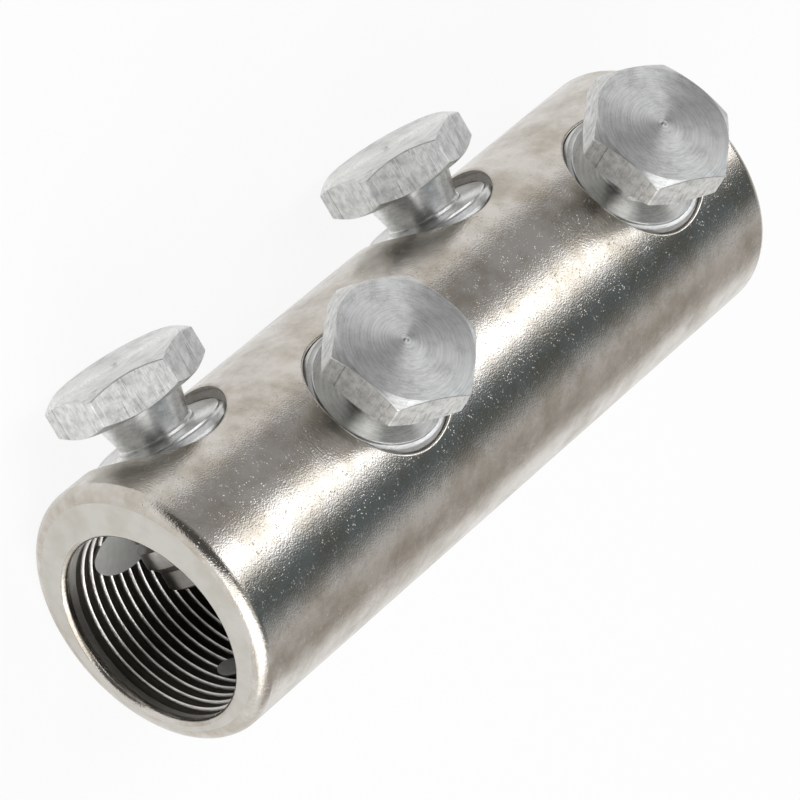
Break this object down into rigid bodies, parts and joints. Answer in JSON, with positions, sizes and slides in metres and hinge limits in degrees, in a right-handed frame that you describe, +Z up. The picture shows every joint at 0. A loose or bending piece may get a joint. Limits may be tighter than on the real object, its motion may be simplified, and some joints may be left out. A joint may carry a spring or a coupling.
{
  "type": "shear bolt cable connector",
  "caption": "Thick-walled tubular sleeve that joins two cable cores, with shear-head bolts in two staggered rows whose necks snap at the right torque.",
  "frame": {"origin": "middle of the footprint, on the surface that the connector lies on", "axes": "+X along the sleeve, from the end with shear_bolt_1 to the end with shear_bolt_4; +Y to the side that the bolt rows face; +Z up"},
  "size_m": [0.102, 0.0436, 0.0412],
  "materials": {
    "tinned_aluminium": "satin, tin plated, lightly pitted",
    "bare_aluminium": "bare, turned, fine tool marks"
  },
  "bodies": {
    "sleeve": {"sleeve": "tinned_aluminium"},
    "shear_bolt_1": {"shear_bolt_1": "bare_aluminium"},
    "shear_bolt_2": {"shear_bolt_2": "bare_aluminium"},
    "shear_bolt_3": {"shear_bolt_3": "bare_aluminium"},
    "shear_bolt_4": {"shear_bolt_4": "bare_aluminium"}
  },
  "joints": [
    {"name": "shear_bolt_1_travel", "type": "slide", "parent": "sleeve", "child": "shear_bolt_1", "axis": [0, 0.9493, -0.3144], "range_m": [-0.003, 0.012]},
    {"name": "shear_bolt_2_travel", "type": "slide", "parent": "sleeve", "child": "shear_bolt_2", "axis": [0, 0.7111, 0.7031], "range_m": [-0.003, 0.012]},
    {"name": "shear_bolt_3_travel", "type": "slide", "parent": "sleeve", "child": "shear_bolt_3", "axis": [0, 0.9493, -0.3144], "range_m": [-0.003, 0.012]},
    {"name": "shear_bolt_4_travel", "type": "slide", "parent": "sleeve", "child": "shear_bolt_4", "axis": [0, 0.7111, 0.7031], "range_m": [-0.003, 0.012]}
  ]
}
